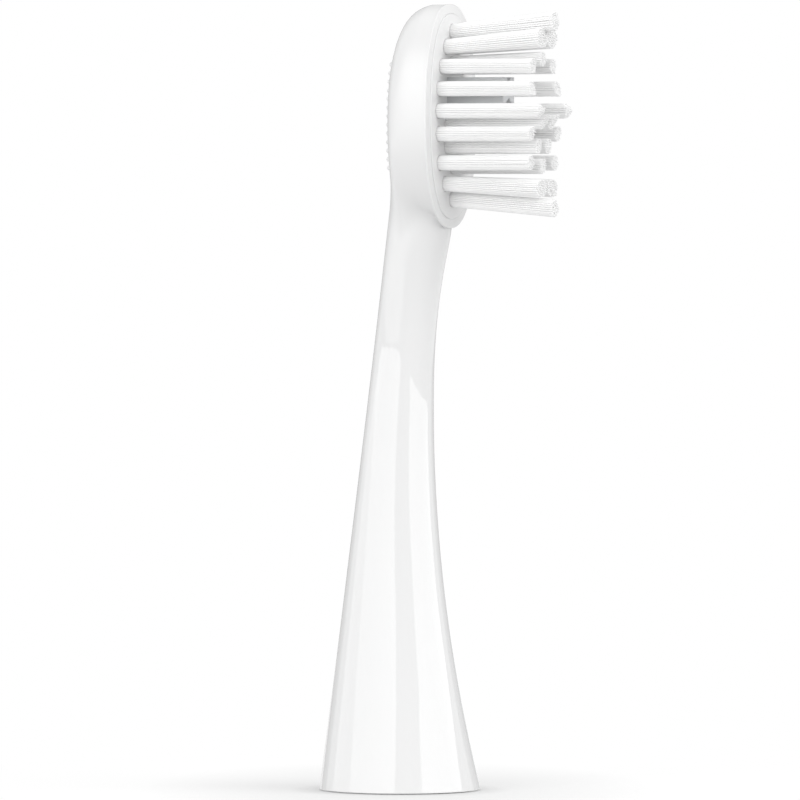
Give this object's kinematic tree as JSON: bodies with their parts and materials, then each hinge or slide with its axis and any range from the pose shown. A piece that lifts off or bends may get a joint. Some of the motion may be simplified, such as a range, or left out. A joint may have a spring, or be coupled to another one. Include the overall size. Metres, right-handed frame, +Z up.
{
  "type": "electric toothbrush head",
  "caption": "Slim sonic toothbrush head: tapered hollow stem, oval head, ring of trimmed nylon tufts with a soft inner post and a studded back.",
  "frame": {"origin": "centre of the base ring on the drive axis, where the handle's shoulder meets it", "axes": "+Z up the stem from the base ring to the head, +X the way the bristles point"},
  "size_m": [0.0244, 0.0156, 0.076],
  "materials": {
    "body_white": "gloss",
    "plate_white": "satin",
    "nylon_white": "satin",
    "post_rubber": "matt",
    "pad_rubber": "satin",
    "insert_white": "satin",
    "clip_steel": "satin"
  },
  "bodies": {
    "root": {"brush_body": "body_white", "bristle_plate": "plate_white", "massage_post": "post_rubber", "tongue_pad": "pad_rubber", "drive_socket": "insert_white", "spring_clip": "clip_steel", "ring_tuft_01": "nylon_white", "ring_tuft_02": "nylon_white", "ring_tuft_03": "nylon_white", "ring_tuft_04": "nylon_white", "ring_tuft_05": "nylon_white", "ring_tuft_06": "nylon_white", "ring_tuft_07": "nylon_white", "ring_tuft_08": "nylon_white", "ring_tuft_09": "nylon_white", "ring_tuft_10": "nylon_white", "ring_tuft_11": "nylon_white", "ring_tuft_12": "nylon_white", "ring_tuft_13": "nylon_white", "ring_tuft_14": "nylon_white", "ring_tuft_15": "nylon_white", "ring_tuft_16": "nylon_white", "inner_tuft_01": "nylon_white", "inner_tuft_02": "nylon_white", "inner_tuft_03": "nylon_white", "inner_tuft_04": "nylon_white", "inner_tuft_05": "nylon_white", "inner_tuft_06": "nylon_white"}
  },
  "joints": []
}
